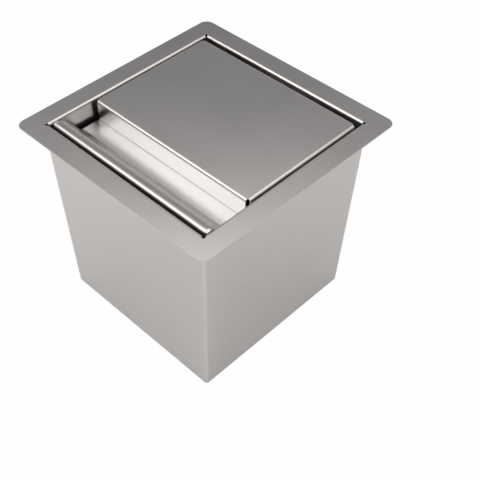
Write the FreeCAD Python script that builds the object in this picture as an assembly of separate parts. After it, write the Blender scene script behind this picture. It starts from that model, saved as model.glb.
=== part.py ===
import FreeCAD, Part
import math
import os

Vector = FreeCAD.Vector

# Built-in countertop bin, folded from stainless sheet. Millimetres, +Z up.
# The origin is the middle of the base. The finger trough is on the -Y side.

# Housing
BIN_HEIGHT = 213.0          # rim top above the base
RIM_SIDE = 250.0            # outer side of the square flange
RIM_CORNER_RADIUS = 9.0
FLANGE_WIDTH = 22.0         # flange's outer edge to the collar's inner face
SHEET = 1.0                 # rim, walls, floor and lid
BEND_RADIUS = 2.5           # outer radius of a fold
COLLAR_DEPTH = 40.0         # collar's lower edge below the rim top
FOLD_SLIT = 0.5             # open seam between two folded edges at a corner
WALL_CLEAR = 0.6            # end of the flange's fold to the walls' inner face
WALL_TAPER = 8.85           # each wall draws in by this from top to base
WALL_CORNER_RADIUS = 3.0
FLOOR_UPSTAND = 12.0
FLOOR_FIT = 0.1             # floor pan inside the walls

# Seal under the flange
GASKET_THICKNESS = 1.5
GASKET_WIDTH = 10.0
GASKET_SETBACK = 3.0        # from the flange's outer edge

# Lid
SIDE_GAP = 2.0              # lid to collar
FRONT_GAP = 3.5
REAR_GAP = 5.8
SIDE_FLANGE = 14.0
REAR_FLANGE = 15.0

# Finger trough
TROUGH_DEPTH = 22.0
LIP_FLANGE = 10.0
LIP_RADIUS = 3.0
LEDGE_LENGTH = 11.3         # lip's face to where the slope would meet the ledge
LEDGE_FLAT = 0.5            # flat between the lip's fold and the rounded ledge
SLOPE_RUN = 17.2            # length of the slope, seen from above
FOOT_RADIUS = 6.0
TROUGH_FLOOR = 22.4         # foot of the slope to the cover's front face
UPSTAND_RADIUS = 0.3
UPSTAND_TOP = 7.0           # upstand's upper edge below the lid's top
SEAM_GAP = 0.3              # cover's front flange above the trough floor
CHEEK_GAP = 0.7             # plates that close the ends under the ledge, to the collar
CHEEK_BEVEL = 2.6           # their bevelled outer edge, across the ledge
CHEEK_BEVEL_DROP = 1.1

# Pivot
PIVOT_SETBACK = 26.6        # rod behind the cover's front face
PIVOT_DROP = 14.0           # rod below the rim top
TILT_LIMIT = 55.0           # degrees, trough down
ROD_RADIUS = 3.0
ROD_PROUD = 1.5             # rod end beyond the bush
ROD_CHAMFER = 0.5
ROD_RUNNING = 0.05          # radial clearance in the bushes
LUG_SHEET = 1.5
LUG_TO_BUSH = 3.7           # outer face of a lug to the bush
LUG_FOOT = 16.0
LUG_RADIUS = 9.0            # rounded end of a lug
LUG_BEND = 2.5
CLIP_THICKNESS = 0.8
CLIP_BAND = 3.0             # radial width of a clip
CLIP_GROOVE_DEPTH = 0.5
CLIP_SNAP = 0.6             # open side of a clip is narrower than the groove by this
CLIP_FIT = 0.05

# Pivot brackets
BRACKET_SHEET = 1.2
BRACKET_WIDTH = 20.0
BRACKET_REACH = 12.0        # collar to the inner leg's inboard face
BRACKET_TOP = 6.0           # inner leg's top above the rod's axis
BRACKET_BEND = 2.2
EAR_LAND = 1.9              # flat top beside the slot, before the ear slopes down
EAR_DROP = 10.0             # height of the slope
OUTER_LEG_TOP = 3.0         # outer leg's top below the lid's side flange
STOP_CLEAR = 0.4            # side flange to the bracket's web at full tilt

# Bushes
BUSH_WALL = 0.95            # neck that sits in the slot
BUSH_FLANGE = 1.2
BUSH_FLANGE_WIDTH = 2.0     # flange beyond the neck
BUSH_FIT = 0.1              # neck and flanges to the slot and leg

# Rear stop
STOP_SHEET = 1.2
STOP_WIDTH = 80.0
STOP_LEDGE = 13.0
STOP_LEG = 16.0
STOP_BEND = 2.2
BUMPER_INSET = 10.0         # bumper's axis from the end of the ledge
BUMPER_RADIUS = 4.5
BUMPER_HEIGHT = 3.0
BUMPER_DRAFT = 0.8          # head's top is narrower than its foot by this all round
BUMPER_STEM_RADIUS = 1.9
BUMPER_BARB = 2.5
BUMPER_BARB_WIDTH = 0.7     # barb beyond the stem
BUMPER_FIT = 0.1            # stem to hole, barb to ledge
BUMPER_CLEAR = 0.1          # bumper to the closed lid

# Pail
PAIL_SWING_CLEAR = 8.7      # pail's top below the trough's lip at full tilt
PAIL_LIFT_CLEAR = 1.7       # pail's rim inside the narrowest place on its way out
PAIL_TAPER = 5.0            # each wall draws in by this from top to base
PAIL_CORNER_RADIUS = 26.0
PAIL_BASE_CHAMFER = 4.0
PAIL_WALL = 2.0
PAIL_RIM_WIDTH = 3.0
PAIL_RIM_DROP = 7.0
PAIL_FOOT_WIDTH = 12.0      # ring that the pail stands on
PAIL_FOOT_HEIGHT = 2.0
PAIL_SEAT_CLEAR = 0.1
GRIP_LENGTH = 76.0          # finger hole in each side wall
GRIP_HEIGHT = 20.0
GRIP_BELOW_RIM = 12.0

# Places that several pieces share
RIM_UNDER = BIN_HEIGHT - SHEET
OPENING_HALF = RIM_SIDE / 2 - FLANGE_WIDTH
WALL_TOP_HALF = OPENING_HALF + BEND_RADIUS + WALL_CLEAR + SHEET
LID_HALF = OPENING_HALF - SIDE_GAP
LID_REAR = OPENING_HALF - REAR_GAP
LIP_FRONT = FRONT_GAP - OPENING_HALF
SLOPE_TOP = LIP_FRONT + LEDGE_LENGTH
SLOPE_FOOT = SLOPE_TOP + SLOPE_RUN
COVER_FRONT = SLOPE_FOOT + TROUGH_FLOOR
TROUGH_BOTTOM = BIN_HEIGHT - TROUGH_DEPTH
SLOPE_ANGLE = math.atan2(TROUGH_DEPTH, SLOPE_RUN)
LEDGE_RADIUS = (LEDGE_LENGTH - LIP_RADIUS - LEDGE_FLAT) / math.tan(SLOPE_ANGLE / 2)
FOLDED_HALF = LID_HALF - BEND_RADIUS - FOLD_SLIT
PIVOT_Y = COVER_FRONT + PIVOT_SETBACK
PIVOT_Z = BIN_HEIGHT - PIVOT_DROP
TILT = math.radians(TILT_LIMIT)
BUSH_RADIUS = ROD_RADIUS + ROD_RUNNING + BUSH_WALL
BUSH_FLANGE_RADIUS = BUSH_RADIUS + BUSH_FLANGE_WIDTH
SLOT_RADIUS = BUSH_RADIUS + BUSH_FIT
LEG_INNER = OPENING_HALF - BRACKET_REACH
LEG_OUTER = LEG_INNER + BRACKET_SHEET
LEG_TOP = PIVOT_Z + BRACKET_TOP
BUSH_INNER = LEG_INNER - BUSH_FIT - BUSH_FLANGE
BUSH_OUTER = LEG_OUTER + BUSH_FIT + BUSH_FLANGE
ROD_HALF = BUSH_OUTER + ROD_PROUD
LUG_FACE = BUSH_INNER - LUG_TO_BUSH
GROOVE_RADIUS = ROD_RADIUS - CLIP_GROOVE_DEPTH
CLIP_RADIUS = GROOVE_RADIUS + CLIP_BAND
LEDGE_TOP = BIN_HEIGHT - REAR_FLANGE - BUMPER_CLEAR - BUMPER_HEIGHT
LEDGE_EDGE = OPENING_HALF - STOP_LEDGE
PAIL_RIM_HALF = min(BUSH_INNER, LEDGE_EDGE) - PAIL_LIFT_CLEAR
PAIL_MOUTH_HALF = PAIL_RIM_HALF - PAIL_RIM_WIDTH


def wall_half(height):
    """Half the outer side of the housing walls at a height."""
    return WALL_TOP_HALF - WALL_TAPER * (1 - height / RIM_UNDER)


def lip_at_full_tilt():
    """Height of the lip's lower edge when the lid is tilted to its limit."""
    reach = PIVOT_Y - LIP_FRONT
    above_rod = PIVOT_DROP - LIP_FLANGE
    return PIVOT_Z - reach * math.sin(TILT) + above_rod * math.cos(TILT)


def rounded_square(half, radius, z):
    """Closed wire of a square with rounded corners at height z."""
    flat = half - radius
    diagonal = radius * math.sqrt(0.5)
    edges = []
    for turn in range(4):
        spin = FreeCAD.Rotation(Vector(0, 0, 1), 90 * turn)
        start = Vector(half, -flat, z)
        end = Vector(half, flat, z)
        middle = Vector(flat + diagonal, flat + diagonal, z)
        after = Vector(flat, half, z)
        edges.append(Part.LineSegment(spin.multVec(start), spin.multVec(end)).toShape())
        arc = Part.Arc(spin.multVec(end), spin.multVec(middle), spin.multVec(after))
        edges.append(arc.toShape())
    return Part.Wire(edges)


def tapered_block(*sections):
    """Solid through rounded squares, each given as half side, corner radius and height."""
    return Part.makeLoft([rounded_square(*section) for section in sections], True, True)


def square_plate(half, radius, z_low, z_high):
    face = Part.Face(rounded_square(half, radius, z_low))
    return face.extrude(Vector(0, 0, z_high - z_low))


def centred_box(side, z_low, z_high):
    return Part.makeBox(side, side, z_high - z_low, Vector(-side / 2, -side / 2, z_low))


def pivot_cylinder(radius, x_low, x_high):
    """Cylinder on the axis of the rod."""
    return Part.makeCylinder(
        radius, x_high - x_low, Vector(x_low, PIVOT_Y, PIVOT_Z), Vector(1, 0, 0))


def offset_corners(points, distance):
    """Corners of a polyline moved to its right-hand side by a distance."""
    normals = []
    for start, end in zip(points, points[1:]):
        run = math.hypot(end[0] - start[0], end[1] - start[1])
        normals.append(((end[1] - start[1]) / run, (start[0] - end[0]) / run))
    moved = []
    for index, (u, v) in enumerate(points):
        before = normals[max(index - 1, 0)]
        after = normals[min(index, len(normals) - 1)]
        scale = distance / (1 + before[0] * after[0] + before[1] * after[1])
        moved.append((u + (before[0] + after[0]) * scale, v + (before[1] + after[1]) * scale))
    return moved


def turn_sign(before, corner, after):
    """1 where the path turns to its left at a corner, -1 where it turns to its right."""
    cross = (corner[0] - before[0]) * (after[1] - corner[1])
    cross -= (corner[1] - before[1]) * (after[0] - corner[0])
    return math.copysign(1, cross)


def rounded_path(points, radii, place):
    """Edges of a polyline whose inner corners are rounded."""
    edges = []
    at = place(*points[0])
    for index, radius in enumerate(radii):
        before, corner, after = (place(*point) for point in points[index:index + 3])
        back = (before - corner).normalize()
        ahead = (after - corner).normalize()
        half_angle = back.getAngle(ahead) / 2
        reach = radius / math.tan(half_angle)
        centre = corner + (back + ahead).normalize() * (radius / math.sin(half_angle))
        first = corner + back * reach
        last = corner + ahead * reach
        middle = centre + (corner - centre).normalize() * radius
        edges.append(Part.LineSegment(at, first).toShape())
        edges.append(Part.Arc(first, middle, last).toShape())
        at = last
    edges.append(Part.LineSegment(at, place(*points[-1])).toShape())
    return edges


def folded_strip(points, radii, thickness, place, sweep):
    """Sheet of one thickness folded along a path, on the path's right-hand side.

    points and radii describe the sheet's left face in the section's own plane, place turns
    a section point into space, and sweep is the vector that the section is extruded along.
    """
    other_radii = []
    for index, radius in enumerate(radii):
        turn = turn_sign(points[index], points[index + 1], points[index + 2])
        other_radii.append(radius + turn * thickness)
    other = offset_corners(points, thickness)
    edges = rounded_path(points, radii, place)
    edges.append(Part.LineSegment(place(*points[-1]), place(*other[-1])).toShape())
    edges.extend(rounded_path(other, other_radii, place))
    edges.append(Part.LineSegment(place(*other[0]), place(*points[0])).toShape())
    wire = Part.Wire(Part.__sortEdges__(edges))
    return Part.Face(wire).extrude(sweep)


def along_x(x_low, x_high):
    """Section in the YZ plane, swept from left to right."""
    return (lambda y, z: Vector(x_low, y, z)), Vector(x_high - x_low, 0, 0)


def across_x(half):
    """Section in the YZ plane, swept over the width of the bin."""
    return along_x(-half, half)


def along_y(y_low, y_high):
    """Section in the XZ plane, swept from front to rear."""
    return (lambda x, z: Vector(x, y_low, z)), Vector(0, y_high - y_low, 0)


def mirrored_in_x(shape):
    return shape.mirror(Vector(0, 0, 0), Vector(1, 0, 0))


def make_rim_frame():
    """Flat flange with a collar folded down on each side of the opening."""
    flat_half = OPENING_HALF + BEND_RADIUS
    flange = square_plate(RIM_SIDE / 2, RIM_CORNER_RADIUS, RIM_UNDER, BIN_HEIGHT)
    flange = flange.cut(centred_box(2 * flat_half, RIM_UNDER, BIN_HEIGHT))
    path = [
        (-flat_half - SHEET, BIN_HEIGHT),
        (-OPENING_HALF, BIN_HEIGHT),
        (-OPENING_HALF, BIN_HEIGHT - COLLAR_DEPTH),
    ]
    place, sweep = across_x(OPENING_HALF - FOLD_SLIT)
    side = folded_strip(path, [BEND_RADIUS], SHEET, place, sweep)
    for turn in range(4):
        collar = side.copy()
        collar.rotate(Vector(0, 0, 0), Vector(0, 0, 1), 90 * turn)
        flange = flange.fuse(collar)
    return flange.removeSplitter()


def make_housing_shell():
    """Tapered walls, open at the top and the bottom."""
    outer_radius = WALL_CORNER_RADIUS
    inner_radius = WALL_CORNER_RADIUS - SHEET
    outer = tapered_block(
        (wall_half(0), outer_radius, 0), (WALL_TOP_HALF, outer_radius, RIM_UNDER))
    inner = tapered_block(
        (wall_half(0) - SHEET, inner_radius, 0),
        (WALL_TOP_HALF - SHEET, inner_radius, RIM_UNDER))
    return outer.cut(inner)


def make_floor_pan():
    """Tray whose upturned edges follow the walls' taper."""
    inset = SHEET + FLOOR_FIT
    outer_radius = WALL_CORNER_RADIUS - SHEET
    inner_radius = outer_radius - SHEET
    outer = tapered_block(
        (wall_half(0) - inset, outer_radius, 0),
        (wall_half(FLOOR_UPSTAND) - inset, outer_radius, FLOOR_UPSTAND))
    inner = tapered_block(
        (wall_half(SHEET) - inset - SHEET, inner_radius, SHEET),
        (wall_half(FLOOR_UPSTAND) - inset - SHEET, inner_radius, FLOOR_UPSTAND))
    return outer.cut(inner)


def make_rim_gasket():
    """Flat seal ring under the flange."""
    half = RIM_SIDE / 2 - GASKET_SETBACK
    low = RIM_UNDER - GASKET_THICKNESS
    ring = square_plate(half, RIM_CORNER_RADIUS - GASKET_SETBACK, low, RIM_UNDER)
    return ring.cut(centred_box(2 * (half - GASKET_WIDTH), low, RIM_UNDER))


def make_lid_panel():
    """Cover folded down on four sides, with open seams at its corners."""
    top = BIN_HEIGHT
    lengthwise = [
        (COVER_FRONT, TROUGH_BOTTOM + SEAM_GAP),
        (COVER_FRONT, top),
        (LID_REAR, top),
        (LID_REAR, top - REAR_FLANGE),
    ]
    crosswise = [
        (-LID_HALF, top - SIDE_FLANGE),
        (-LID_HALF, top),
        (LID_HALF, top),
        (LID_HALF, top - SIDE_FLANGE),
    ]
    radii = [BEND_RADIUS, BEND_RADIUS]
    corner = BEND_RADIUS + FOLD_SLIT
    place, sweep = across_x(FOLDED_HALF)
    ends = folded_strip(lengthwise, radii, SHEET, place, sweep)
    place, sweep = along_y(COVER_FRONT + corner, LID_REAR - corner)
    sides = folded_strip(crosswise, radii, SHEET, place, sweep)
    return ends.fuse(sides).removeSplitter()


def make_finger_trough():
    """Lip, ledge, slope, floor and upstand, folded from one strip."""
    upstand = COVER_FRONT + SHEET
    path = [
        (LIP_FRONT, BIN_HEIGHT - LIP_FLANGE),
        (LIP_FRONT, BIN_HEIGHT),
        (SLOPE_TOP, BIN_HEIGHT),
        (SLOPE_FOOT, TROUGH_BOTTOM),
        (upstand, TROUGH_BOTTOM),
        (upstand, BIN_HEIGHT - UPSTAND_TOP),
    ]
    radii = [LIP_RADIUS, LEDGE_RADIUS, FOOT_RADIUS, UPSTAND_RADIUS]
    place, sweep = across_x(FOLDED_HALF)
    return folded_strip(path, radii, SHEET, place, sweep)


def make_trough_cheek():
    """Plate that closes the +X end of the hump, as deep as the lip, with a bevelled edge."""
    low = BIN_HEIGHT - LIP_FLANGE
    slope_end = SLOPE_TOP + SLOPE_RUN * LIP_FLANGE / TROUGH_DEPTH
    path = [
        (LIP_FRONT, low),
        (LIP_FRONT, BIN_HEIGHT),
        (SLOPE_TOP, BIN_HEIGHT),
        (slope_end, low),
    ]
    place, sweep = along_x(FOLDED_HALF, OPENING_HALF - CHEEK_GAP)
    edges = rounded_path(path, [LIP_RADIUS, LEDGE_RADIUS], place)
    edges.append(Part.LineSegment(place(*path[-1]), place(*path[0])).toShape())
    cheek = Part.Face(Part.Wire(Part.__sortEdges__(edges))).extrude(sweep)
    outer_face = max(cheek.Faces, key=lambda face: face.CenterOfMass.x)
    upwards = sorted(outer_face.Edges, key=lambda edge: edge.CenterOfMass.z)
    return cheek.makeChamfer(CHEEK_BEVEL, CHEEK_BEVEL_DROP, upwards[1:])


def make_pivot_bracket():
    """U bracket on the +X collar: its inner leg has the slot, its web stops the tilt."""
    half = BRACKET_WIDTH / 2
    edge_above_rod = PIVOT_DROP - SIDE_FLANGE
    web_drop = (half * math.sin(TILT) - edge_above_rod) / math.cos(TILT)
    web_base = PIVOT_Z - web_drop - STOP_CLEAR - BRACKET_SHEET
    path = [
        (OPENING_HALF, BIN_HEIGHT - SIDE_FLANGE - OUTER_LEG_TOP),
        (OPENING_HALF, web_base),
        (LEG_INNER, web_base),
        (LEG_INNER, LEG_TOP),
    ]
    place, sweep = along_y(PIVOT_Y - half, PIVOT_Y + half)
    bracket = folded_strip(path, [BRACKET_BEND] * 2, BRACKET_SHEET, place, sweep)
    return bracket.cut(bush_slot()).cut(ear_slopes()).removeSplitter()


def bush_slot():
    """Round-bottomed slot through the inner leg, open upwards."""
    mouth = Part.makeBox(
        BRACKET_SHEET, 2 * SLOT_RADIUS, BRACKET_TOP,
        Vector(LEG_INNER, PIVOT_Y - SLOT_RADIUS, PIVOT_Z))
    return pivot_cylinder(SLOT_RADIUS, LEG_INNER, LEG_OUTER).fuse(mouth)


def ear_slopes():
    """Two wedges that slope the upper corners of the inner leg."""
    wedges = []
    for side in (-1, 1):
        land = PIVOT_Y + side * (SLOT_RADIUS + EAR_LAND)
        edge = PIVOT_Y + side * BRACKET_WIDTH / 2
        points = [
            Vector(LEG_INNER, edge, LEG_TOP),
            Vector(LEG_INNER, land, LEG_TOP),
            Vector(LEG_INNER, edge, LEG_TOP - EAR_DROP),
        ]
        face = Part.Face(Part.makePolygon(points + points[:1]))
        wedges.append(face.extrude(Vector(BRACKET_SHEET, 0, 0)))
    return Part.makeCompound(wedges)


def make_rod_bush():
    """Spool bush on the +X end of the rod."""
    flanges = pivot_cylinder(BUSH_FLANGE_RADIUS, BUSH_INNER, BUSH_OUTER)
    groove = pivot_cylinder(BUSH_FLANGE_RADIUS, LEG_INNER - BUSH_FIT, LEG_OUTER + BUSH_FIT)
    neck = pivot_cylinder(BUSH_RADIUS, BUSH_INNER, BUSH_OUTER)
    bore = pivot_cylinder(ROD_RADIUS + ROD_RUNNING, BUSH_INNER, BUSH_OUTER)
    return flanges.cut(groove).fuse(neck).removeSplitter().cut(bore)


def make_pivot_rod():
    """Rod with a clip groove outside each lug and chamfered ends."""
    rod = pivot_cylinder(ROD_RADIUS, -ROD_HALF, ROD_HALF)
    ends = [edge for edge in rod.Edges if isinstance(edge.Curve, Part.Circle)]
    rod = rod.makeChamfer(ROD_CHAMFER, ends)
    width = CLIP_THICKNESS + CLIP_FIT
    for x_low in (LUG_FACE, -LUG_FACE - width):
        ring = pivot_cylinder(CLIP_RADIUS, x_low, x_low + width)
        rod = rod.cut(ring.cut(pivot_cylinder(GROOVE_RADIUS, x_low, x_low + width)))
    return rod


def make_rod_clip():
    """Open spring clip in the +X groove of the rod."""
    x_high = LUG_FACE + CLIP_THICKNESS
    half_mouth = GROOVE_RADIUS - CLIP_SNAP / 2
    disc = pivot_cylinder(CLIP_RADIUS, LUG_FACE, x_high)
    bore = pivot_cylinder(GROOVE_RADIUS + CLIP_FIT, LUG_FACE, x_high)
    mouth = Part.makeBox(
        CLIP_THICKNESS, 2 * half_mouth, CLIP_RADIUS,
        Vector(LUG_FACE, PIVOT_Y - half_mouth, PIVOT_Z - CLIP_RADIUS))
    return disc.cut(bore).cut(mouth)


def make_rod_lug():
    """Ear under the +X side of the cover, with a foot on the cover and a hole for the rod."""
    foot_end = LUG_FACE - LUG_FOOT
    path = [(foot_end, RIM_UNDER), (LUG_FACE, RIM_UNDER), (LUG_FACE, PIVOT_Z - LUG_RADIUS)]
    place, sweep = along_y(PIVOT_Y - LUG_RADIUS, PIVOT_Y + LUG_RADIUS)
    lug = folded_strip(path, [LUG_BEND], LUG_SHEET, place, sweep)
    below_rod = Part.makeBox(
        LUG_FOOT, 2 * LUG_RADIUS, LUG_RADIUS,
        Vector(foot_end, PIVOT_Y - LUG_RADIUS, PIVOT_Z - LUG_RADIUS))
    corners = below_rod.cut(pivot_cylinder(LUG_RADIUS, foot_end, LUG_FACE))
    return lug.cut(corners).cut(pivot_cylinder(ROD_RADIUS, foot_end, LUG_FACE))


def bumper_spot(side):
    """Point on the ledge under the lid's rear flange, to the left (-1) or right (1)."""
    x = STOP_WIDTH / 2 - BUMPER_INSET
    return Vector(side * x, LID_REAR - SHEET / 2, LEDGE_TOP)


def make_rear_stop():
    """Ledge on the rear collar, with a hole for each bumper."""
    path = [
        (LEDGE_EDGE, LEDGE_TOP),
        (OPENING_HALF, LEDGE_TOP),
        (OPENING_HALF, LEDGE_TOP - STOP_LEG),
    ]
    place, sweep = across_x(STOP_WIDTH / 2)
    stop = folded_strip(path, [STOP_BEND], STOP_SHEET, place, sweep)
    for side in (-1, 1):
        hole = Part.makeCylinder(
            BUMPER_STEM_RADIUS + BUMPER_FIT, STOP_SHEET, bumper_spot(side), Vector(0, 0, -1))
        stop = stop.cut(hole)
    return stop


def make_stop_bumper(side):
    """Push-in bumper: a round head, a stem through the ledge and a barb under it."""
    grip = STOP_SHEET + BUMPER_FIT
    outline = [
        Vector(0, 0, BUMPER_HEIGHT),
        Vector(BUMPER_RADIUS - BUMPER_DRAFT, 0, BUMPER_HEIGHT),
        Vector(BUMPER_RADIUS, 0, 0),
        Vector(BUMPER_STEM_RADIUS, 0, 0),
        Vector(BUMPER_STEM_RADIUS, 0, -grip),
        Vector(BUMPER_STEM_RADIUS + BUMPER_BARB_WIDTH, 0, -grip),
        Vector(BUMPER_STEM_RADIUS - BUMPER_FIT, 0, -grip - BUMPER_BARB),
        Vector(0, 0, -grip - BUMPER_BARB),
    ]
    face = Part.Face(Part.makePolygon(outline + outline[:1]))
    bumper = face.revolve(Vector(0, 0, 0), Vector(0, 0, 1), 360)
    return bumper.translated(bumper_spot(side))


def make_pail():
    """Tapered pail with a rolled rim, a standing ring and a finger hole in each side."""
    base = SHEET + PAIL_SEAT_CLEAR
    top = lip_at_full_tilt() - PAIL_SWING_CLEAR
    slope = PAIL_TAPER / (top - base)
    base_half = PAIL_MOUTH_HALF - PAIL_TAPER
    radius = PAIL_CORNER_RADIUS
    bevel = PAIL_BASE_CHAMFER
    outer = tapered_block(
        (base_half - bevel, radius - bevel, base),
        (base_half + slope * bevel, radius, base + bevel),
        (PAIL_MOUTH_HALF, radius, top))
    rim_low = top - PAIL_RIM_DROP
    rim = square_plate(PAIL_RIM_HALF, radius + PAIL_RIM_WIDTH, rim_low, top)
    hem = square_plate(
        PAIL_RIM_HALF - PAIL_WALL, radius + PAIL_RIM_WIDTH - PAIL_WALL,
        rim_low, top - PAIL_WALL)
    floor = base + PAIL_FOOT_HEIGHT + PAIL_WALL
    inner_radius = radius - PAIL_WALL
    floor_half = base_half + slope * (floor - base) - PAIL_WALL
    inner = tapered_block(
        (floor_half, inner_radius, floor), (PAIL_MOUTH_HALF - PAIL_WALL, inner_radius, top))
    recess = square_plate(
        base_half - bevel - PAIL_FOOT_WIDTH, radius - bevel - PAIL_FOOT_WIDTH,
        base, base + PAIL_FOOT_HEIGHT)
    pail = outer.fuse(rim.cut(hem)).cut(inner).cut(recess).cut(grip_holes(top))
    return pail.removeSplitter()


def grip_holes(pail_top):
    """Round-ended bar that cuts a finger hole through both side walls, below the rim."""
    radius = GRIP_HEIGHT / 2
    z = pail_top - GRIP_BELOW_RIM - radius
    flat = GRIP_LENGTH / 2 - radius
    reach = PAIL_RIM_HALF
    bar = Part.makeBox(2 * reach, 2 * flat, GRIP_HEIGHT, Vector(-reach, -flat, z - radius))
    for y in (-flat, flat):
        end = Part.makeCylinder(radius, 2 * reach, Vector(-reach, y, z), Vector(1, 0, 0))
        bar = bar.fuse(end)
    return bar


def build():
    cheek = make_trough_cheek()
    bracket = make_pivot_bracket()
    bush = make_rod_bush()
    lug = make_rod_lug()
    clip = make_rod_clip()
    return {
        "rim_frame": make_rim_frame(),
        "housing_shell": make_housing_shell(),
        "floor_pan": make_floor_pan(),
        "rim_gasket": make_rim_gasket(),
        "right_pivot_bracket": bracket,
        "left_pivot_bracket": mirrored_in_x(bracket),
        "rear_stop": make_rear_stop(),
        "left_stop_bumper": make_stop_bumper(-1),
        "right_stop_bumper": make_stop_bumper(1),
        "lid_panel": make_lid_panel(),
        "finger_trough": make_finger_trough(),
        "right_trough_cheek": cheek,
        "left_trough_cheek": mirrored_in_x(cheek),
        "pivot_rod": make_pivot_rod(),
        "right_rod_lug": lug,
        "left_rod_lug": mirrored_in_x(lug),
        "rod_clips": Part.makeCompound([clip, mirrored_in_x(clip)]),
        "right_rod_bush": bush,
        "left_rod_bush": mirrored_in_x(bush),
        "pail": make_pail(),
    }


os.makedirs("parts", exist_ok=True)
for node, shape in build().items():
    if not shape.isValid():
        raise ValueError(node + " is not a valid shape")
    shape.exportStep(os.path.join("parts", node + ".step"))
    print(node, len(shape.Solids), "solids", round(shape.Volume, 1), "mm3")
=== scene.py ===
import math

import bmesh
import bpy
from bpy.props import FloatProperty, FloatVectorProperty, IntProperty, PointerProperty
from mathutils import Matrix, Quaternion, Vector


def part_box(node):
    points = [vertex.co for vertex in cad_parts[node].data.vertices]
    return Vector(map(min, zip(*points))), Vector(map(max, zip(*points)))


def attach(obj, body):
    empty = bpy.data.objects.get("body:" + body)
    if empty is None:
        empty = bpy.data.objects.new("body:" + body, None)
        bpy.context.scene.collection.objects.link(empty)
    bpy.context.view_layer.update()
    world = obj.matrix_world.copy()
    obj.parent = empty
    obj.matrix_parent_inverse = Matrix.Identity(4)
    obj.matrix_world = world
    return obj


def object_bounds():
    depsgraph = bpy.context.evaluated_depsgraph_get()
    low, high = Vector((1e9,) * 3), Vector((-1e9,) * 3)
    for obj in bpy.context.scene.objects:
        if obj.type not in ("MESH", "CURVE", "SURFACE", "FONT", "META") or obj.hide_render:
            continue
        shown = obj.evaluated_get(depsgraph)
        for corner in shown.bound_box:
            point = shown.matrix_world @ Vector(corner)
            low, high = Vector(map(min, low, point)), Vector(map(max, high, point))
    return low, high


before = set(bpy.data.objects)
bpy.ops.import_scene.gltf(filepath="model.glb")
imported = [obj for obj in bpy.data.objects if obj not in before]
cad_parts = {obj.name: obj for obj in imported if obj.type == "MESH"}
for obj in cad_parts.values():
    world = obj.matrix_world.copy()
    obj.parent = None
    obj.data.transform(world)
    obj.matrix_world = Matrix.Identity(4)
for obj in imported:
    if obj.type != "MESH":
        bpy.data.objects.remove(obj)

CAD_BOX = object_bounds()
WHITE = (1.0, 1.0, 1.0, 1.0)
NOISE_MIDDLE = 0.5

bl_info = {
    "name": "Countertop bin finishes",
    "version": (1, 0, 0),
    "blender": (4, 5, 0),
    "location": "3D View > Sidebar > Bin",
    "description": "Finishes, weld marks and a studio stage for a built-in countertop bin",
    "category": "Object",
}


def length(name, description, default):
    """Property in metres."""
    return FloatProperty(name=name, description=description, default=default, unit="LENGTH", precision=5)


def share(name, description, default):
    """Property from 0 to 1."""
    return FloatProperty(
        name=name, description=description, default=default, min=0, max=1, subtype="FACTOR")


def gain(name, description, default):
    """Property that multiplies a tone or a light, from 0 up."""
    return FloatProperty(name=name, description=description, default=default, min=0)


def colour(name, description, default):
    """Property for a colour."""
    return FloatVectorProperty(
        name=name, description=description, default=default, min=0, max=1, size=3, subtype="COLOR")


def angle(name, description, degrees):
    """Property for an angle, with its default in degrees."""
    return FloatProperty(
        name=name, description=description, default=math.radians(degrees), unit="ROTATION")


def place(name, description, default):
    """Property for a point in metres."""
    return FloatVectorProperty(
        name=name, description=description, default=default, size=3, subtype="XYZ", unit="LENGTH")


def count(name, description, default):
    """Property for the sides of a round shape."""
    return IntProperty(name=name, description=description, default=default, min=8)


class SteelSettings(bpy.types.PropertyGroup):
    """Satin stainless sheet of the rim, the walls, the floor pan and the lid"""

    tone: colour("Tone", "Colour of the sheet", (0.65, 0.645, 0.64))
    tone_spread: share("Tone spread", "How far the grain darkens and lightens the tone", 0.06)
    roughness: share("Roughness", "Blur of the reflections", 0.29)
    grain_pitch: length("Grain pitch", "Spacing of the brush lines", 0.0005)
    grain_length: length("Grain length", "Length of a brush line", 0.04)
    grain_contrast: share("Grain contrast", "How far the grain changes the roughness", 0.12)
    grain_depth: length("Grain depth", "Height of the brush lines", 0.000007)
    grain_share: share("Grain share", "Brush lines in the grain, the rest is soft patches", 0.5)
    cloud_size: length("Cloud size", "Size of the soft patches in the satin", 0.09)
    edge_radius: length("Edge radius", "Rounding of the deburred edges", 0.00025)


class BracketSettings(bpy.types.PropertyGroup):
    """Mill finish sheet of the brackets, the rear stop and the lugs"""

    tone: colour("Tone", "Colour of the mill finish", (0.55, 0.545, 0.54))
    dark_gain: gain("Dark gain", "Brightness of the dark patches against the tone", 0.85)
    light_gain: gain("Light gain", "Brightness of the light patches against the tone", 1.1)
    roughness: share("Roughness", "Blur of the reflections", 0.4)
    mottle_size: length("Mottle size", "Size of the patches", 0.003)
    mottle_contrast: share("Mottle contrast", "How far the patches change the roughness", 0.2)
    mottle_depth: length("Mottle depth", "Height of the patches", 0.00001)
    edge_radius: length("Edge radius", "Rounding of the deburred edges", 0.00025)
    bracket_sheet: length("Bracket sheet", "Thickness of the brackets and the rear stop", 0.0012)
    lug_sheet: length("Lug sheet", "Thickness of the lugs", 0.0015)


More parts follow.
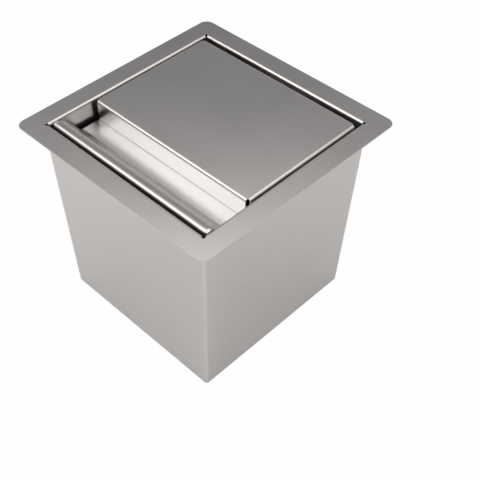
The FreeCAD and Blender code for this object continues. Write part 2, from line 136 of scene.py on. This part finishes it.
class WeldSettings(bpy.types.PropertyGroup):
    """Marks of the spot welds"""

    inset: length("Inset", "Welds from the edge of their piece", 0.007)
    pair_pitch: length("Pair pitch", "Spacing of the two welds of a bracket or lug", 0.01)
    stop_pitch: length("Stop pitch", "Spacing of the rear stop's three welds", 0.026)
    trough_pitch: length("Trough pitch", "Spacing of the trough's five welds", 0.04)
    diameter: length("Diameter", "Width of a mark", 0.004)
    thickness: length("Thickness", "Thickness of a mark, half of it proud of the sheet", 0.00012)
    shoulder: share("Shoulder", "Radius of a mark's top against its foot", 0.8)
    ring_width: share("Ring width", "Flat of the ring against the mark's radius", 0.25)
    dimple_slope: share("Dimple slope", "Width of the dimple's side against the mark's radius", 0.2)
    dimple_depth: share("Dimple depth", "Depth of the dimple against the mark's thickness", 0.6)
    sides: count("Sides", "Sides of a mark's ring", 24)


class RodSettings(bpy.types.PropertyGroup):
    """Ground steel of the pivot rod and its clips"""

    tone: colour("Tone", "Colour of the ground steel", (0.68, 0.68, 0.69))
    dark_gain: gain("Dark gain", "Brightness of the dark lines against the tone", 0.9)
    roughness: share("Roughness", "Blur of the reflections", 0.2)
    line_pitch: length("Line pitch", "Spacing of the grinding lines round the rod", 0.0004)
    line_length: length("Line length", "Length of a grinding line", 0.01)
    line_contrast: share("Line contrast", "How far the lines change the roughness", 0.15)
    line_depth: length("Line depth", "Height of the lines", 0.000006)
    edge_radius: length("Edge radius", "Rounding of the edges", 0.00025)


class RubberSettings(bpy.types.PropertyGroup):
    """Rubber of the seal and the bumpers"""

    tone: colour("Tone", "Colour of the rubber", (0.03, 0.03, 0.031))
    roughness: share("Roughness", "Blur of the reflections", 0.62)
    bloom_size: length("Bloom size", "Size of the grey patches", 0.012)
    bloom_start: share("Bloom start", "Noise at which a patch starts", 0.4)
    bloom_full: share("Bloom full", "Noise at which a patch is full", 0.8)
    bloom_gain: gain("Bloom gain", "Brightness of a patch against the tone", 2.2)
    bloom_contrast: share("Bloom contrast", "How far the patches roughen the rubber", 0.2)
    pore_size: length("Pore size", "Size of the pores", 0.0005)
    pore_depth: length("Pore depth", "Depth of the pores", 0.00003)
    edge_radius: length("Edge radius", "Rounding of the edges", 0.0003)


class BushSettings(bpy.types.PropertyGroup):
    """Natural nylon of the bushes"""

    tone: colour("Tone", "Colour of the nylon", (0.78, 0.765, 0.71))
    roughness: share("Roughness", "Blur of the reflections", 0.36)
    stain_size: length("Stain size", "Size of the stains", 0.005)
    stain_gain: gain("Stain gain", "Brightness of a stain against the tone", 0.82)
    ring_pitch: length("Ring pitch", "Spacing of the turned rings", 0.0003)
    ring_length: length("Ring length", "Length of a turned line", 0.004)
    ring_contrast: share("Ring contrast", "How far the rings roughen the nylon", 0.2)
    ring_depth: length("Ring depth", "Height of the rings", 0.00001)
    edge_radius: length("Edge radius", "Rounding of the edges", 0.00015)


class PailSettings(bpy.types.PropertyGroup):
    """Moulded plastic of the inner pail"""

    tone: colour("Tone", "Colour of the pail", (0.075, 0.077, 0.082))
    roughness: share("Roughness", "Blur of the reflections", 0.42)
    spark_size: length("Texture size", "Size of the moulded texture", 0.0008)
    spark_contrast: share("Texture contrast", "How far the texture roughens the pail", 0.16)
    spark_depth: length("Texture depth", "Height of the texture", 0.00006)
    scuff_width: length("Scuff width", "Width of an upright scuff", 0.0015)
    scuff_height: length("Scuff height", "Height of an upright scuff", 0.06)
    scuff_start: share("Scuff start", "Noise at which a scuff starts", 0.58)
    scuff_full: share("Scuff full", "Noise at which a scuff is full", 0.8)
    scuff_gain: gain("Scuff gain", "Brightness of a scuff against the tone", 1.7)
    scuff_contrast: share("Scuff contrast", "How far a scuff roughens the pail", 0.12)
    edge_radius: length("Edge radius", "Rounding of the edges", 0.0006)


class StageSettings(bpy.types.PropertyGroup):
    """Floor, light and camera"""

    floor_radius: length("Floor radius", "Half the width of the floor", 9.0)
    floor_sides: count("Floor sides", "Sides of the round floor", 96)
    floor_tone: colour("Floor tone", "Colour of the floor", (0.94, 0.94, 0.94))
    floor_grain: length("Floor grain", "Size of the floor's faint patches", 0.02)
    floor_dark_gain: gain("Floor dark gain", "Brightness of the patches against the tone", 0.99)
    floor_roughness: share("Floor roughness", "Mattness of the floor", 0.9)
    floor_white: share("Floor white", "How white the floor shows to the camera", 0.985)
    mirrored_white: share("Mirrored white", "How white the floor shows in the steel", 0.02)
    top_brightness: gain("Top light", "Brightness of the light above", 1.15)
    top_side: length("Top side", "Side of the light above", 2.2)
    top_height: length("Top height", "Light above the bin", 1.55)
    top_setback: length("Top setback", "Light above, away from the camera", 0.16)
    top_tone: colour("Top tone", "Colour of the light above", (1.0, 0.945, 0.922))
    key_brightness: gain("Key light", "Brightness of the light at the front left", 2.9)
    fill_brightness: gain("Fill light", "Brightness of the light at the camera", 2.0)
    back_brightness: gain("Back light", "Brightness of the light at the back right", 1.3)
    panel_side: length("Panel side", "Side of the three standing lights", 0.75)
    panel_distance: length("Panel distance", "Standing lights from the bin", 1.6)
    panel_elevation: angle("Panel elevation", "Standing lights above the horizon", 46)
    panel_spread: angle("Panel spread", "Key and back light from the fill, round the bin", 90)
    panel_tone: colour("Panel tone", "Colour of the standing lights", (1.0, 0.96, 0.945))
    room_tone: colour("Room tone", "Room round the stage", (0.2, 0.2, 0.2))
    backdrop_tone: colour("Backdrop tone", "Backdrop behind the bin", (0.62, 0.6, 0.59))
    backdrop_full: angle("Backdrop full", "Elevation up to which the backdrop is even", 8)
    backdrop_top: angle("Backdrop top", "Elevation at which the backdrop ends", 28)
    backdrop_fade: share("Backdrop fade", "How far the backdrop fades into the room at its sides", 0.4)
    camera_target: place("Target", "Point that the camera looks at", (0.0773, -0.0738, 0.213))
    camera_distance: length("Distance", "Camera to target", 0.7897)
    camera_azimuth: angle("Azimuth", "Camera round the bin, from the front to the right", 46.06)
    camera_elevation: angle("Elevation", "Camera above the horizon", 43.51)
    camera_roll: angle("Roll", "Turn of the picture", -0.93)
    camera_lens: FloatProperty(
        name="Lens", description="Focal length in millimetres", default=70.155, unit="CAMERA")
    camera_shift: FloatVectorProperty(
        name="Shift", description="Shift of the picture", default=(0.06875, -0.0771), size=2)


class Value:
    """Number in a node tree. An operator on it adds a Math node."""

    def __init__(self, shading, socket):
        self.shading = shading
        self.socket = socket

    def math(self, operation, first, second):
        return self.shading.node("ShaderNodeMath", {"operation": operation}, {0: first, 1: second})

    def __add__(self, other):
        return self.math("ADD", self, other)

    def __radd__(self, other):
        return self.math("ADD", other, self)

    def __sub__(self, other):
        return self.math("SUBTRACT", self, other)

    def __rsub__(self, other):
        return self.math("SUBTRACT", other, self)

    def __mul__(self, other):
        return self.math("MULTIPLY", self, other)

    def __rmul__(self, other):
        return self.math("MULTIPLY", other, self)

    def __truediv__(self, other):
        return self.math("DIVIDE", self, other)

    def __rtruediv__(self, other):
        return self.math("DIVIDE", other, self)


class Shading:
    """Node tree of a material or of the world."""

    # Sockets of a Mix node that mixes colours
    MIX_COLOURS = (6, 7)
    MIX_RESULT = 2

    def __init__(self, owner):
        owner.use_nodes = True
        self.tree = owner.node_tree

    def node(self, kind, settings=None, inputs=None, output=0):
        """Add a node, set it up, then fill its sockets."""
        node = self.tree.nodes.new(kind)
        for name, value in (settings or {}).items():
            setattr(node, name, value)
        self.fill(node, inputs or {})
        return Value(self, node.outputs[output])

    def fill(self, node, inputs):
        """Link the values to a node's sockets, and set numbers and colours on them."""
        for name, value in inputs.items():
            if isinstance(value, Value):
                self.tree.links.new(value.socket, node.inputs[name])
            else:
                node.inputs[name].default_value = value

    def split(self, vector):
        """x, y and z of a vector."""
        first = self.node("ShaderNodeSeparateXYZ", inputs={"Vector": vector})
        return [Value(self, socket) for socket in first.socket.node.outputs]

    def join(self, x, y, z):
        """Vector of x, y and z."""
        return self.node("ShaderNodeCombineXYZ", inputs={"X": x, "Y": y, "Z": z})

    def noise(self, x, y, z, detail, roughness):
        """Smooth noise from 0 to 1, with features about one unit wide."""
        return self.node(
            "ShaderNodeTexNoise", {"noise_dimensions": "3D"},
            {"Vector": self.join(x, y, z), "Scale": 1.0, "Detail": detail, "Roughness": roughness})

    def ramp(self, value, low, high):
        """Value stretched from low..high to 0..1 with soft ends."""
        return self.node(
            "ShaderNodeMapRange", {"interpolation_type": "SMOOTHSTEP"},
            {"Value": value, "From Min": low, "From Max": high})

    def mix(self, factor, first, second):
        """Colour from first at 0 to second at 1."""
        colours = dict(zip(self.MIX_COLOURS, (first, second)))
        return self.node(
            "ShaderNodeMix", {"data_type": "RGBA"}, {"Factor": factor, **colours}, self.MIX_RESULT)


class Finish(Shading):
    """Material around one Principled shader."""

    EDGE_SAMPLES = 4

    def __init__(self, name):
        self.material = bpy.data.materials.new(name)
        super().__init__(self.material)
        self.shader = self.tree.nodes["Principled BSDF"]

    def set(self, **inputs):
        """Fill the shader's sockets, with _ in a name for a space."""
        self.fill(self.shader, {name.replace("_", " "): value for name, value in inputs.items()})

    def position(self):
        """x, y and z of a point of the piece, in metres."""
        return self.split(self.node("ShaderNodeTexCoord", output="Object"))

    def streaks(self, x_size, y_size, z_size, detail=2.0, roughness=0.5):
        """Noise with features of a size in metres along each axis."""
        x, y, z = self.position()
        return self.noise(x / x_size, y / y_size, z / z_size, detail, roughness)

    def patches(self, size, detail=2.0, roughness=0.5):
        """Noise with features of one size in metres."""
        return self.streaks(size, size, size, detail, roughness)

    def shades(self, factor, tone, first, second):
        """Tone times first at 0, and times second at 1."""
        return self.mix(factor, opaque(tone, first), opaque(tone, second))

    def relief(self, height, depth, edge_radius):
        """Bump of a depth in metres over edges rounded by a radius."""
        edges = self.node("ShaderNodeBevel", {"samples": self.EDGE_SAMPLES}, {"Radius": edge_radius})
        return self.node(
            "ShaderNodeBump", inputs={"Height": height, "Distance": depth, "Normal": edges})

    def put_on(self, *nodes):
        """Give the material to pieces of the frame."""
        for name in nodes:
            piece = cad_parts[name]
            piece.data.materials.clear()
            piece.data.materials.append(self.material)


def opaque(tone, times=1.0):
    """Tone times a number, with alpha, for a colour socket."""
    return (*(times * part for part in tone), 1.0)


def level_grain(x, y, z):
    """Along and across brush lines that run left to right on the flats and their folds."""
    return x, y + z


def wall_grain(x, y, z):
    """Along and across brush lines that run level round the walls."""
    return x + y, z


def satin_steel(name, settings, grain_lines):
    """Brushed sheet, with soft patches in the satin."""
    finish = Finish(name)
    along, across = grain_lines(*finish.position())
    streak = finish.noise(
        along / settings.grain_length, across / settings.grain_pitch, 0.0, detail=3.0, roughness=0.65)
    cloud = finish.patches(settings.cloud_size, detail=3.0)
    grain = settings.grain_share * streak + (1 - settings.grain_share) * cloud
    spread = settings.tone_spread
    finish.set(
        Base_Color=finish.shades(grain, settings.tone, 1 - spread, 1 + spread),
        Metallic=1.0,
        Roughness=settings.roughness + settings.grain_contrast * (grain - NOISE_MIDDLE),
        Normal=finish.relief(streak, settings.grain_depth, settings.edge_radius))
    return finish


def mill_steel(name, settings):
    """Unbrushed sheet with a faint mottle."""
    finish = Finish(name)
    mottle = finish.patches(settings.mottle_size, detail=4.0, roughness=0.6)
    finish.set(
        Base_Color=finish.shades(mottle, settings.tone, settings.dark_gain, settings.light_gain),
        Metallic=1.0,
        Roughness=settings.roughness + settings.mottle_contrast * (mottle - NOISE_MIDDLE),
        Normal=finish.relief(mottle, settings.mottle_depth, settings.edge_radius))
    return finish


def ground_steel(name, settings):
    """Bright steel with fine lines round the rod's axis."""
    finish = Finish(name)
    line = finish.streaks(settings.line_pitch, settings.line_length, settings.line_length)
    finish.set(
        Base_Color=finish.shades(line, settings.tone, settings.dark_gain, 1.0),
        Metallic=1.0,
        Roughness=settings.roughness + settings.line_contrast * (line - NOISE_MIDDLE),
        Normal=finish.relief(line, settings.line_depth, settings.edge_radius))
    return finish


def soft_rubber(name, settings):
    """Matt black rubber with a bloom of grey."""
    finish = Finish(name)
    bloom = finish.patches(settings.bloom_size, detail=5.0, roughness=0.6)
    grey = finish.ramp(bloom, settings.bloom_start, settings.bloom_full)
    pores = finish.patches(settings.pore_size)
    finish.set(
        Base_Color=finish.shades(grey, settings.tone, 1.0, settings.bloom_gain),
        Roughness=settings.roughness + settings.bloom_contrast * bloom,
        Normal=finish.relief(pores, settings.pore_depth, settings.edge_radius))
    return finish


def turned_nylon(name, settings):
    """Natural nylon with turned rings, a little deeper in colour where it is stained."""
    finish = Finish(name)
    rings = finish.streaks(settings.ring_pitch, settings.ring_length, settings.ring_length)
    stain = finish.patches(settings.stain_size, detail=4.0)
    finish.set(
        Base_Color=finish.shades(stain, settings.tone, 1.0, settings.stain_gain),
        Roughness=settings.roughness + settings.ring_contrast * rings,
        Normal=finish.relief(rings, settings.ring_depth, settings.edge_radius))
    return finish


def moulded_plastic(name, settings):
    """Dark plastic with a fine moulded texture and faint upright scuffs."""
    finish = Finish(name)
    spark = finish.patches(settings.spark_size, detail=3.0, roughness=0.7)
    width = settings.scuff_width
    scuff = finish.streaks(width, width, settings.scuff_height, detail=4.0, roughness=0.6)
    worn = finish.ramp(scuff, settings.scuff_start, settings.scuff_full)
    texture = settings.spark_contrast * spark
    finish.set(
        Base_Color=finish.shades(worn, settings.tone, 1.0, settings.scuff_gain),
        Roughness=settings.roughness + texture + settings.scuff_contrast * worn,
        Normal=finish.relief(spark, settings.spark_depth, settings.edge_radius))
    return finish


def only_verts(geometry):
    """Vertices among some parts of a mesh."""
    return [part for part in geometry if isinstance(part, bmesh.types.BMVert)]


def weld_mark(settings):
    """Spot weld's mark at the origin, facing up: a low ring round a shallow dimple."""
    mark = bmesh.new()
    radius = settings.diameter / 2
    bmesh.ops.create_cone(
        mark, cap_ends=True, segments=settings.sides,
        radius1=radius, radius2=settings.shoulder * radius, depth=settings.thickness)
    top = max(mark.faces, key=lambda face: face.calc_center_median().z)
    bmesh.ops.inset_region(mark, faces=[top], thickness=settings.ring_width * radius)
    bmesh.ops.inset_region(
        mark, faces=[top], thickness=settings.dimple_slope * radius,
        depth=-settings.dimple_depth * settings.thickness)
    return mark


def weld_marks(name, body, places, settings, finish):
    """One piece with a weld mark at each point, turned to each direction."""
    marks = weld_mark(settings)
    first = marks.verts[:] + marks.edges[:] + marks.faces[:]
    for point, direction in places:
        copy = bmesh.ops.duplicate(marks, geom=first)["geom"]
        turn = Vector(direction).to_track_quat("Z", "Y").to_matrix().to_4x4()
        bmesh.ops.transform(marks, matrix=Matrix.Translation(point) @ turn, verts=only_verts(copy))
    bmesh.ops.delete(marks, geom=only_verts(first))
    bmesh.ops.recalc_face_normals(marks, faces=marks.faces[:])
    mesh = bpy.data.meshes.new(name)
    marks.to_mesh(mesh)
    marks.free()
    mesh.materials.append(finish.material)
    piece = bpy.data.objects.new(name, mesh)
    bpy.context.scene.collection.objects.link(piece)
    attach(piece, body)


def in_a_row(number, pitch):
    """Places of a number of welds in a row, about its middle."""
    return [(step - (number - 1) / 2) * pitch for step in range(number)]


def housing_welds(welds, sheet):
    """Points and directions of the welds on the brackets and the rear stop."""
    places = []
    for side, node in ((-1, "left_pivot_bracket"), (1, "right_pivot_bracket")):
        low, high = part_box(node)
        x = side * (max(-low.x, high.x) - sheet)
        middle = (low.y + high.y) / 2
        for step in in_a_row(2, welds.pair_pitch):
            places.append(((x, middle + step, low.z + welds.inset), (-side, 0, 0)))
    low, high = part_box("rear_stop")
    for x in in_a_row(3, welds.stop_pitch):
        places.append(((x, high.y - sheet, low.z + welds.inset), (0, -1, 0)))
    return places


def lid_welds(welds, sheet):
    """Points and directions of the welds on the lugs' feet and the trough's upstand."""
    places = []
    low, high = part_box("right_rod_lug")
    x = low.x + welds.inset
    middle = (low.y + high.y) / 2
    for side in (-1, 1):
        for step in in_a_row(2, welds.pair_pitch):
            places.append(((side * x, middle + step, high.z - sheet), (0, 0, -1)))
    low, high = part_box("finger_trough")
    for x in in_a_row(5, welds.trough_pitch):
        places.append(((x, high.y, low.z + welds.inset), (0, 1, 0)))
    return places


def facing(azimuth, elevation):
    """Unit vector towards an azimuth, from the front to the right, and an elevation."""
    level = math.cos(elevation)
    return Vector((math.sin(azimuth) * level, -math.cos(azimuth) * level, math.sin(elevation)))


def soft_light(name, side, brightness, tone, location, turn):
    """Square soft light. A brightness of 1 looks white to what the light faces."""
    lamp = bpy.data.lights.new(name, "AREA")
    lamp.shape = "SQUARE"
    lamp.size = side
    lamp.energy = brightness * math.pi * side * side
    lamp.color = tone
    light = bpy.data.objects.new(name, lamp)
    light.location = location
    light.rotation_euler = turn.to_euler()
    bpy.context.scene.collection.objects.link(light)


def top_light(settings, middle):
    """Light flat above the bin, with one side square to the camera."""
    setback = settings.top_setback * facing(settings.camera_azimuth, 0)
    location = middle + Vector((0, 0, settings.top_height)) - setback
    turn = Quaternion((0, 0, 1), settings.camera_azimuth)
    soft_light(
        "top_light", settings.top_side, settings.top_brightness, settings.top_tone, location, turn)


def standing_light(name, brightness, azimuth, settings, middle):
    """Light on a stand that faces the bin."""
    direction = facing(azimuth, settings.panel_elevation)
    location = middle + settings.panel_distance * direction
    turn = direction.to_track_quat("Z", "Y")
    soft_light(name, settings.panel_side, brightness, settings.panel_tone, location, turn)


def standing_lights(settings, middle):
    """Lights at the camera and at both sides of it. The side behind the bin has none."""
    front = settings.camera_azimuth
    spread = settings.panel_spread
    standing_light("key_light", settings.key_brightness, front - spread, settings, middle)
    standing_light("fill_light", settings.fill_brightness, front, settings, middle)
    standing_light("back_light", settings.back_brightness, front + spread, settings, middle)


def floor_finish(settings):
    """Matt floor that shows white, and keeps some of the bin's shadow."""
    finish = Finish("pale_floor")
    grain = finish.patches(settings.floor_grain, detail=4.0)
    finish.set(
        Base_Color=finish.shades(grain, settings.floor_tone, settings.floor_dark_gain, 1.0),
        Roughness=settings.floor_roughness,
        Specular_IOR_Level=0.0)
    paths = finish.node("ShaderNodeLightPath").socket.node.outputs
    seen, mirrored, passed = (
        Value(finish, paths[name])
        for name in ("Is Camera Ray", "Is Glossy Ray", "Is Transmission Ray"))
    white = finish.node("ShaderNodeEmission", inputs={"Color": WHITE, "Strength": 1.0})
    shown = settings.floor_white * (seen + passed) + settings.mirrored_white * mirrored
    surface = finish.node(
        "ShaderNodeMixShader",
        inputs={0: shown, 1: Value(finish, finish.shader.outputs[0]), 2: white})
    finish.fill(finish.tree.nodes["Material Output"], {"Surface": surface})
    return finish


def pale_floor(settings):
    """Round floor under the bin."""
    disc = bmesh.new()
    bmesh.ops.create_circle(
        disc, cap_ends=True, segments=settings.floor_sides, radius=settings.floor_radius)
    mesh = bpy.data.meshes.new("floor")
    disc.to_mesh(mesh)
    disc.free()
    mesh.materials.append(floor_finish(settings).material)
    floor = bpy.data.objects.new("floor", mesh)
    bpy.context.scene.collection.objects.link(floor)


def studio_room(settings):
    """Grey room with a paler backdrop behind the bin. The camera sees it as white."""
    world = bpy.data.worlds.new("studio_room")
    room = Shading(world)
    bpy.context.scene.world = world
    x, y, z = room.split(room.node("ShaderNodeTexCoord", output="Generated"))
    front = facing(settings.camera_azimuth, 0)
    fade = settings.backdrop_fade
    behind = 1.0 - room.ramp(x * front.x + y * front.y, -fade, fade)
    low = 1.0 - room.ramp(z, math.sin(settings.backdrop_full), math.sin(settings.backdrop_top))
    tone = room.mix(behind * low, opaque(settings.room_tone), opaque(settings.backdrop_tone))
    seen = room.node("ShaderNodeLightPath", output="Is Camera Ray")
    room.fill(room.tree.nodes["Background"], {"Color": room.mix(seen, tone, WHITE), "Strength": 1.0})


def stand_camera(settings):
    """Camera at the photograph's viewing angle."""
    back = facing(settings.camera_azimuth, settings.camera_elevation)
    lens = bpy.data.cameras.new("camera")
    lens.lens = settings.camera_lens
    lens.shift_x, lens.shift_y = settings.camera_shift
    camera = bpy.data.objects.new("camera", lens)
    turn = back.to_track_quat("Z", "Y") @ Quaternion((0, 0, 1), settings.camera_roll)
    camera.rotation_euler = turn.to_euler()
    camera.location = Vector(settings.camera_target) + settings.camera_distance * back
    bpy.context.scene.collection.objects.link(camera)
    bpy.context.scene.camera = camera


class BIN_OT_finish_housing(bpy.types.Operator):
    """Brush the rim, the walls and the floor pan"""

    bl_idname = "bin.finish_housing"
    bl_label = "Finish housing"

    def execute(self, context):
        steel = context.scene.bin_steel
        satin_steel("satin_rim", steel, level_grain).put_on("rim_frame", "floor_pan")
        satin_steel("satin_walls", steel, wall_grain).put_on("housing_shell")
        return {"FINISHED"}


class BIN_OT_finish_lid(bpy.types.Operator):
    """Brush the cover, the finger trough and its cheeks"""

    bl_idname = "bin.finish_lid"
    bl_label = "Finish lid"

    def execute(self, context):
        satin_steel("satin_lid", context.scene.bin_steel, level_grain).put_on(
            "lid_panel", "finger_trough", "left_trough_cheek", "right_trough_cheek")
        return {"FINISHED"}


class BIN_OT_finish_fittings(bpy.types.Operator):
    """Finish the brackets, the rear stop and the lugs, and mark the spot welds"""

    bl_idname = "bin.finish_fittings"
    bl_label = "Finish fittings"

    def execute(self, context):
        brackets = context.scene.bin_brackets
        welds = context.scene.bin_welds
        finish = mill_steel("mill_steel", brackets)
        finish.put_on(
            "left_pivot_bracket", "right_pivot_bracket", "rear_stop", "left_rod_lug", "right_rod_lug")
        on_housing = housing_welds(welds, brackets.bracket_sheet)
        weld_marks("housing_welds", "housing", on_housing, welds, finish)
        on_lid = lid_welds(welds, brackets.lug_sheet)
        weld_marks("lid_welds", "lid", on_lid, welds, finish)
        return {"FINISHED"}


class BIN_OT_finish_rod(bpy.types.Operator):
    """Grind the pivot rod and its clips"""

    bl_idname = "bin.finish_rod"
    bl_label = "Finish rod"

    def execute(self, context):
        ground_steel("ground_rod", context.scene.bin_rod).put_on("pivot_rod", "rod_clips")
        return {"FINISHED"}


class BIN_OT_finish_rubber(bpy.types.Operator):
    """Finish the rim's seal and the stop's bumpers"""

    bl_idname = "bin.finish_rubber"
    bl_label = "Finish rubber"

    def execute(self, context):
        soft_rubber("soft_rubber", context.scene.bin_rubber).put_on(
            "rim_gasket", "left_stop_bumper", "right_stop_bumper")
        return {"FINISHED"}


class BIN_OT_finish_bushes(bpy.types.Operator):
    """Finish the two bushes"""

    bl_idname = "bin.finish_bushes"
    bl_label = "Finish bushes"

    def execute(self, context):
        turned_nylon("turned_nylon", context.scene.bin_bushes).put_on("left_rod_bush", "right_rod_bush")
        return {"FINISHED"}


class BIN_OT_finish_pail(bpy.types.Operator):
    """Finish the inner pail"""

    bl_idname = "bin.finish_pail"
    bl_label = "Finish pail"

    def execute(self, context):
        moulded_plastic("moulded_plastic", context.scene.bin_pail).put_on("pail")
        return {"FINISHED"}


class BIN_OT_set_stage(bpy.types.Operator):
    """Lay the floor, hang the lights and stand the camera"""

    bl_idname = "bin.set_stage"
    bl_label = "Set stage"

    def execute(self, context):
        stage = context.scene.bin_stage
        middle = Vector((0, 0, CAD_BOX[1].z / 2))
        pale_floor(stage)
        studio_room(stage)
        top_light(stage, middle)
        standing_lights(stage, middle)
        stand_camera(stage)
        context.scene.view_settings.view_transform = "Standard"
        return {"FINISHED"}


class BIN_PT_finishes(bpy.types.Panel):
    """Sizes, colours and steps of the bin's finish"""

    bl_idname = "BIN_PT_finishes"
    bl_label = "Countertop bin"
    bl_space_type = "VIEW_3D"
    bl_region_type = "UI"
    bl_category = "Bin"

    def draw(self, context):
        for name, (label, group) in SETTINGS.items():
            box = self.layout.box()
            box.label(text=label)
            for key in group.__annotations__:
                box.prop(getattr(context.scene, name), key)
        for step in STEPS:
            self.layout.operator(step.bl_idname)


SETTINGS = {
    "bin_steel": ("Steel sheet", SteelSettings),
    "bin_brackets": ("Brackets and lugs", BracketSettings),
    "bin_welds": ("Spot welds", WeldSettings),
    "bin_rod": ("Rod and clips", RodSettings),
    "bin_rubber": ("Seal and bumpers", RubberSettings),
    "bin_bushes": ("Bushes", BushSettings),
    "bin_pail": ("Pail", PailSettings),
    "bin_stage": ("Stage", StageSettings),
}
STEPS = (
    BIN_OT_finish_housing,
    BIN_OT_finish_lid,
    BIN_OT_finish_fittings,
    BIN_OT_finish_rod,
    BIN_OT_finish_rubber,
    BIN_OT_finish_bushes,
    BIN_OT_finish_pail,
    BIN_OT_set_stage,
)


def register():
    for name, (label, group) in SETTINGS.items():
        bpy.utils.register_class(group)
        setattr(bpy.types.Scene, name, PointerProperty(type=group, name=label))
    for step in STEPS:
        bpy.utils.register_class(step)
    bpy.utils.register_class(BIN_PT_finishes)


def unregister():
    bpy.utils.unregister_class(BIN_PT_finishes)
    for step in reversed(STEPS):
        bpy.utils.unregister_class(step)
    for name, (_, group) in SETTINGS.items():
        delattr(bpy.types.Scene, name)
        bpy.utils.unregister_class(group)


def main():
    register()
    bpy.ops.bin.finish_housing()
    bpy.ops.bin.finish_lid()
    bpy.ops.bin.finish_fittings()
    bpy.ops.bin.finish_rod()
    bpy.ops.bin.finish_rubber()
    bpy.ops.bin.finish_bushes()
    bpy.ops.bin.finish_pail()
    bpy.ops.bin.set_stage()


if __name__ == "__main__":
    main()
